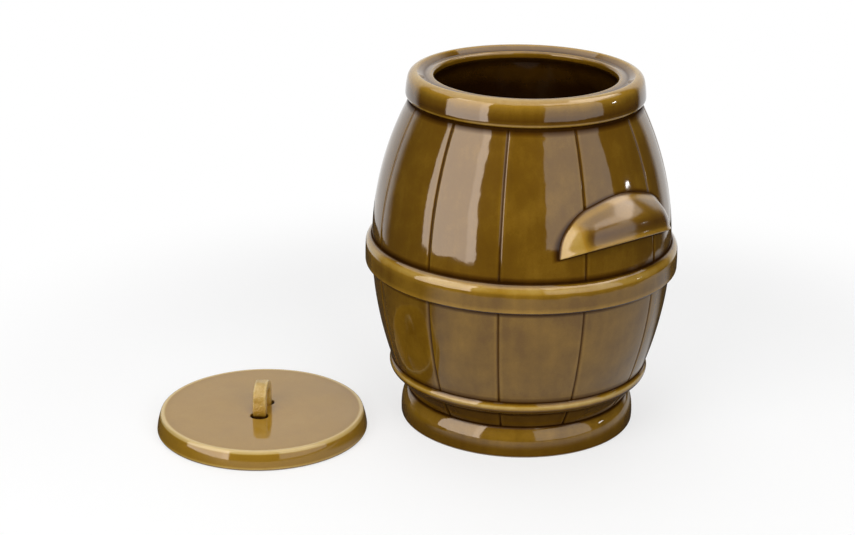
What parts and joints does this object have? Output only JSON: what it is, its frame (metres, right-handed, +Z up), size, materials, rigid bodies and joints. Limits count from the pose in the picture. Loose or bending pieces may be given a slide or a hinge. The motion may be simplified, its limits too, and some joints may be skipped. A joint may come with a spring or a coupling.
{
  "type": "ceramic barrel",
  "caption": "Barrel-shaped glazed ceramic canister with imitation staves and hoops, half-moon lug handles and a lift-off lid with a strap handle.",
  "frame": {"origin": "centre of the barrel's foot, on the plane that it stands on", "axes": "+Z up along the barrel's axis, the lug handles on +X and -X, the lid on the table towards -X and -Y"},
  "size_m": [0.263, 0.3245, 0.2365],
  "materials": {
    "barrel_glaze": "glossy amber-brown glaze, darker in the grooves",
    "lug_glaze": "glossy amber-brown glaze, thin and pale along the edge",
    "lid_glaze": "glossy tan glaze, thinner than on the barrel",
    "strap_glaze": "glossy yellow-tan glaze over a hand-formed surface"
  },
  "bodies": {
    "barrel": {"barrel_body": "barrel_glaze", "right_lug": "lug_glaze", "left_lug": "lug_glaze"},
    "lid": {"lid_plate": "lid_glaze", "lid_strap": "strap_glaze"}
  },
  "joints": [
    {"name": "lid_lift", "type": "slide", "parent": "barrel", "child": "lid", "axis": [0, 0, 1], "range_m": [0, 0.25]}
  ]
}
